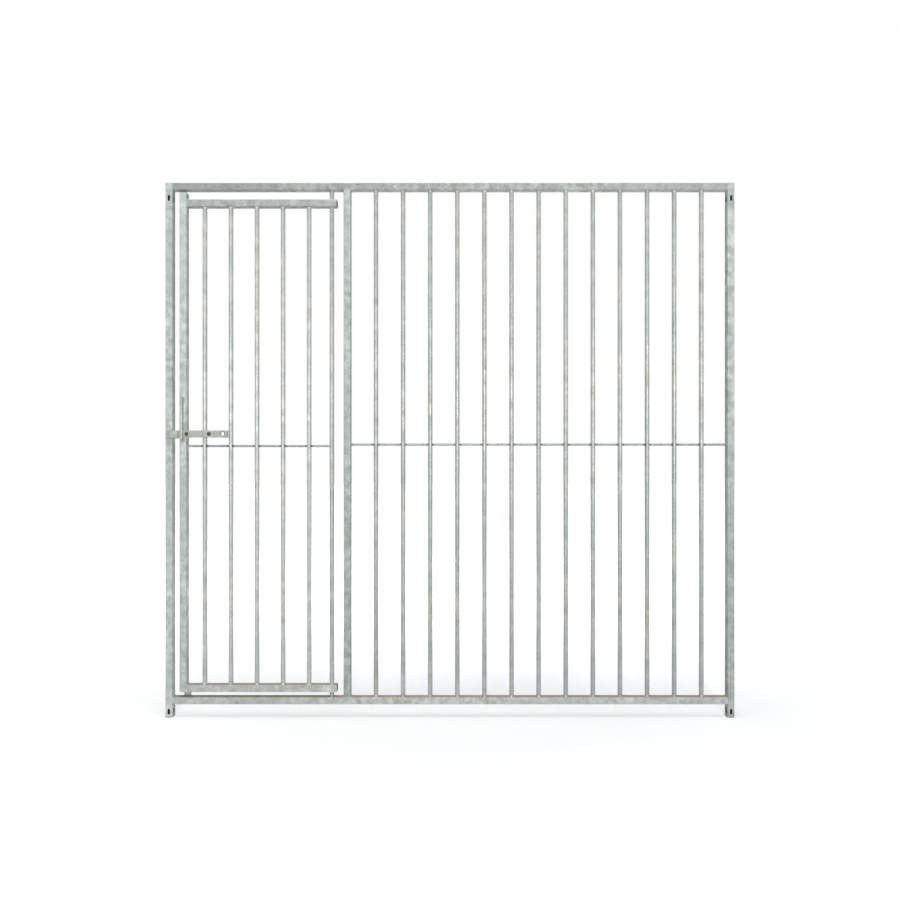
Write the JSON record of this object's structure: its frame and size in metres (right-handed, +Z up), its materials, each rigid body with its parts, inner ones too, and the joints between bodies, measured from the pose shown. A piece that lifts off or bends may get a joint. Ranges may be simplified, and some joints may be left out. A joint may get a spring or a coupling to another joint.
{
  "type": "barred pen panel with door",
  "caption": "Galvanised steel pen or kennel partition of upright round bars in a square-tube frame, with a narrow hinged door and a drop latch.",
  "frame": {"origin": "under the middle of the panel's bounding box, at the height of the posts' feet", "axes": "+X to the right along the panel's width as seen from the latch side, +Y away from that side through the panel's depth, +Z up"},
  "size_m": [2, 0.0456, 1.88],
  "materials": {
    "galvanised_tube": "hot-dip galvanised, mottled light grey",
    "galvanised_bar": "hot-dip galvanised, slightly brighter",
    "galvanised_flat": "hot-dip galvanised flat bar, warmer grey",
    "zinc_fastener": "bright zinc-plated"
  },
  "bodies": {
    "frame": {"left_post": "galvanised_tube", "right_post": "galvanised_tube", "door_post": "galvanised_tube", "top_rail": "galvanised_tube", "bottom_rail": "galvanised_tube", "panel_bar_01": "galvanised_bar", "panel_bar_02": "galvanised_bar", "panel_bar_03": "galvanised_bar", "panel_bar_04": "galvanised_bar", "panel_bar_05": "galvanised_bar", "panel_bar_06": "galvanised_bar", "panel_bar_07": "galvanised_bar", "panel_bar_08": "galvanised_bar", "panel_bar_09": "galvanised_bar", "panel_bar_10": "galvanised_bar", "panel_bar_11": "galvanised_bar", "panel_bar_12": "galvanised_bar", "panel_bar_13": "galvanised_bar", "panel_tie_rod": "galvanised_bar", "latch_keeper": "galvanised_flat", "door_stop": "galvanised_flat"},
    "door": {"door_stile": "galvanised_tube", "door_top_rail": "galvanised_tube", "door_bottom_rail": "galvanised_tube", "door_bar_1": "galvanised_bar", "door_bar_2": "galvanised_bar", "door_bar_3": "galvanised_bar", "door_bar_4": "galvanised_bar", "door_bar_5": "galvanised_bar", "door_pivot_bar": "galvanised_bar", "door_tie_rod": "galvanised_bar", "latch_staple": "galvanised_bar", "latch_pivot_plate": "galvanised_flat", "latch_bolt": "zinc_fastener", "latch_washer": "zinc_fastener", "latch_nut": "zinc_fastener"},
    "latch": {"latch_bar": "galvanised_flat"}
  },
  "joints": [
    {"name": "door_swing", "type": "hinge", "parent": "frame", "child": "door", "pos_m": [-0.417, 0.005, 0.96], "axis": [0, 0, 1], "range_deg": [0, 135]},
    {"name": "latch_lift", "type": "hinge", "parent": "door", "child": "latch", "pos_m": [-0.7961, -0.0113, 0.997], "axis": [0, 1, 0], "range_deg": [0, 35]}
  ]
}
